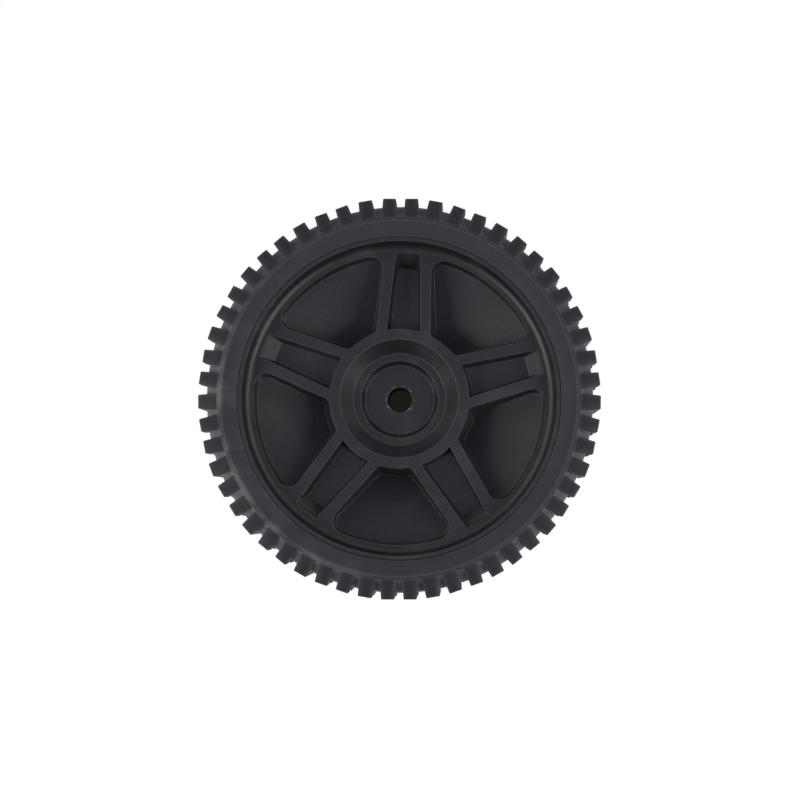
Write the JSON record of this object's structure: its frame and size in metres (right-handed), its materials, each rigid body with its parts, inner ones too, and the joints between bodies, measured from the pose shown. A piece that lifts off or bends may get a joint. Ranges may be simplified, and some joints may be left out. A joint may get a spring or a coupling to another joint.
{
  "type": "garden machine wheel",
  "caption": "Small garden machine wheel: spoked plastic disc with a dished hub and a plain axle bore, inside a rubber tyre with blocky lugs on both shoulders.",
  "frame": {"origin": "on the axle line at the middle of the tyre's width", "axes": "+Z along the axle, out of the wheel's outer face; +Y along one spoke"},
  "size_m": [0.2032, 0.2032, 0.0444],
  "materials": {
    "disc_plastic": "black moulded plastic, satin with a fine grain",
    "tyre_rubber": "black rubber, matt, with a light dusty bloom"
  },
  "bodies": {
    "root": {"wheel_disc": "disc_plastic", "tyre": "tyre_rubber"}
  },
  "joints": []
}
